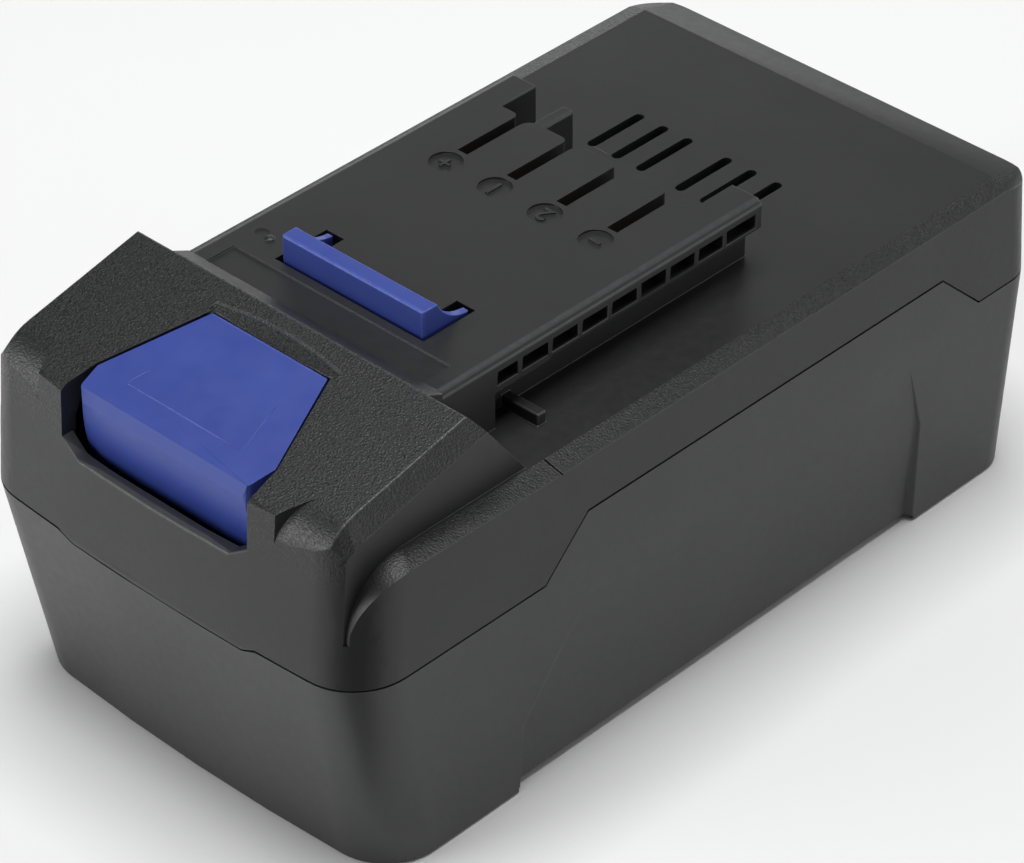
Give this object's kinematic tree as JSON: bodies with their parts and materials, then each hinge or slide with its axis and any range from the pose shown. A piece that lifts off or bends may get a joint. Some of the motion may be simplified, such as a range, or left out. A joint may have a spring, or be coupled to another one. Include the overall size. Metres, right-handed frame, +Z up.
{
  "type": "power tool battery pack",
  "caption": "Slide-on battery pack with a stepped clamshell housing, slide rail with terminal slots, vents and a sprung push-button latch with hook.",
  "frame": {"origin": "middle of the underside, centre of the bounding box", "axes": "+Y from the button end to the rear end, +Z up through the slide rail, +X to the right seen from the button end"},
  "size_m": [0.0768, 0.1456, 0.0686],
  "materials": {
    "housing": "moulded black plastic, fine spark-eroded grain",
    "latch": "moulded royal blue plastic, satin",
    "spring_steel": "bright spring wire",
    "cell": "shrink sleeve over a steel can",
    "holder": "moulded dark plastic",
    "nickel": "plain nickel strip",
    "insulation": "insulating paper",
    "foam": "closed-cell foam",
    "board": "green solder mask",
    "component": "black moulded case",
    "connector": "natural nylon",
    "carrier": "moulded black plastic",
    "contact": "formed sheet",
    "screw": "dark plated steel"
  },
  "bodies": {
    "pack": {"lower_shell": "housing", "upper_shell": "housing", "latch_spring_left": "spring_steel", "latch_spring_right": "spring_steel", "cell_01": "cell", "cell_02": "cell", "cell_03": "cell", "cell_04": "cell", "cell_05": "cell", "cell_06": "cell", "cell_07": "cell", "cell_08": "cell", "cell_09": "cell", "cell_10": "cell", "cell_11": "cell", "cell_12": "cell", "cell_holder_left": "holder", "cell_holder_right": "holder", "nickel_strip_1": "nickel", "nickel_strip_2": "nickel", "nickel_strip_3": "nickel", "nickel_strip_4": "nickel", "nickel_strip_5": "nickel", "nickel_strip_6": "nickel", "nickel_strip_7": "nickel", "insulator_left": "insulation", "insulator_right": "insulation", "foam_pad_front": "foam", "foam_pad_rear": "foam", "circuit_board": "board", "mosfets": "component", "balance_connector": "connector", "terminal_carrier": "carrier", "contact_clip_1": "contact", "contact_clip_2": "contact", "contact_clip_3": "contact", "contact_clip_4": "contact", "case_screws": "screw", "board_screws": "screw"},
    "latch": {"latch": "latch"}
  },
  "joints": [
    {"name": "latch_press", "type": "slide", "parent": "pack", "child": "latch", "axis": [0, 0, -1], "range_m": [0, 0.0045], "stiffness_N_per_m": 1500, "springref_m": -0.004, "deforming": ["latch_spring_left", "latch_spring_right"]}
  ]
}
